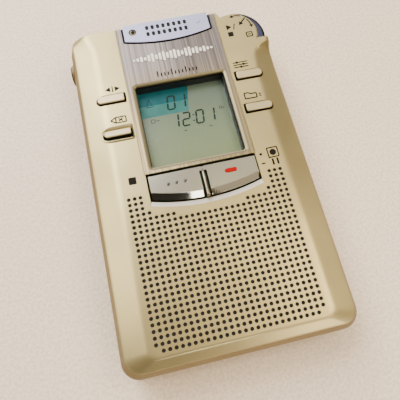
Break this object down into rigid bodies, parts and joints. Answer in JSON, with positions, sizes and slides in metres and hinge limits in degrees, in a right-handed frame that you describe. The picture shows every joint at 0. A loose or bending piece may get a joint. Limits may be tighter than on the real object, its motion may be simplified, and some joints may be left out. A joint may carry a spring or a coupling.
{
  "type": "solid-state dictation recorder",
  "caption": "Card-size pocket voice recorder with a display, push keys, a thumb dial, a perforated loudspeaker front and a sliding battery door.",
  "frame": {"origin": "middle of the back face, on the plane that it rests on", "axes": "+X to the right of the front face, +Y towards the microphone end, +Z out of the front face"},
  "size_m": [0.056, 0.0905, 0.0163],
  "materials": {
    "champagne": "satin",
    "champagne_key": "satin",
    "brushed_trim": "brushed along the length",
    "window": "clear, polished",
    "lcd": "grey-green liquid crystal",
    "bezel": "silver lilac, glossy",
    "chrome_key": "bright chrome",
    "red_mark": "glossy",
    "dial_silver": "silver, polished",
    "lamp": "translucent",
    "black_plastic": "matt",
    "felt": "matt",
    "rubber_black": "matt",
    "steel": "plain",
    "board_green": "solder mask",
    "chip": "moulded",
    "cap_tan": "ceramic",
    "cone": "paper cone",
    "cell_jacket": "printed jacket"
  },
  "bodies": {
    "case": {"front_case": "champagne", "speaker_grille": "champagne", "grille_felt": "felt", "back_case": "champagne", "trim_plate": "brushed_trim", "display_window": "window", "display_frame": "black_plastic", "lcd_module": "lcd", "lcd_connectors": "rubber_black", "microphone_bezel": "bezel", "microphone": "steel", "microphone_boot": "rubber_black", "record_lamp": "lamp", "speaker_frame": "steel", "speaker_cone": "cone", "speaker_magnet": "steel", "speaker_gasket": "rubber_black", "main_board": "board_green", "processor_chip": "chip", "memory_chip": "chip", "audio_chip": "chip", "crystal": "steel", "capacitors": "cap_tan", "key_switches": "steel", "key_divider": "champagne_key", "earphone_socket": "black_plastic", "socket_boss": "champagne", "battery_left": "cell_jacket", "battery_right": "cell_jacket", "battery_spring_left": "steel", "battery_spring_right": "steel", "battery_contacts": "steel", "case_screws": "steel", "dial_switch": "black_plastic", "dial_base": "black_plastic"},
    "split_button": {"split_button": "champagne_key"},
    "erase_button": {"erase_button": "champagne_key"},
    "mode_button": {"mode_button": "champagne_key"},
    "folder_button": {"folder_button": "champagne_key"},
    "stop_key": {"stop_key": "chrome_key"},
    "record_key": {"record_key": "chrome_key", "record_mark": "red_mark"},
    "dial_carrier": {"dial_carrier": "black_plastic", "dial_axle": "steel"},
    "jog_dial": {"jog_dial": "dial_silver"},
    "battery_door": {"battery_door": "champagne"}
  },
  "joints": [
    {"name": "split_button_press", "type": "slide", "parent": "case", "child": "split_button", "axis": [0, 0, -1], "range_m": [0, 0.0005], "stiffness_N_per_m": 900, "springref_m": -0.0003},
    {"name": "erase_button_press", "type": "slide", "parent": "case", "child": "erase_button", "axis": [0, 0, -1], "range_m": [0, 0.0005], "stiffness_N_per_m": 900, "springref_m": -0.0003},
    {"name": "mode_button_press", "type": "slide", "parent": "case", "child": "mode_button", "axis": [0, 0, -1], "range_m": [0, 0.0005], "stiffness_N_per_m": 900, "springref_m": -0.0003},
    {"name": "folder_button_press", "type": "slide", "parent": "case", "child": "folder_button", "axis": [0, 0, -1], "range_m": [0, 0.0005], "stiffness_N_per_m": 900, "springref_m": -0.0003},
    {"name": "stop_key_press", "type": "slide", "parent": "case", "child": "stop_key", "axis": [0, 0, -1], "range_m": [0, 0.0005], "stiffness_N_per_m": 1200, "springref_m": -0.0003},
    {"name": "record_key_press", "type": "slide", "parent": "case", "child": "record_key", "axis": [0, 0, -1], "range_m": [0, 0.0005], "stiffness_N_per_m": 1200, "springref_m": -0.0003},
    {"name": "dial_push", "type": "slide", "parent": "case", "child": "dial_carrier", "axis": [-0.7071, -0.7071, 0], "range_m": [0, 0.0008], "stiffness_N_per_m": 1200, "springref_m": -0.0003},
    {"name": "dial_turn", "type": "hinge", "parent": "dial_carrier", "child": "jog_dial", "pos_m": [0.01915, 0.03685, 0.0123], "axis": [0, 0, 1], "continuous": true},
    {"name": "door_slide", "type": "slide", "parent": "case", "child": "battery_door", "axis": [0, -1, 0], "range_m": [0, 0.04]}
  ]
}
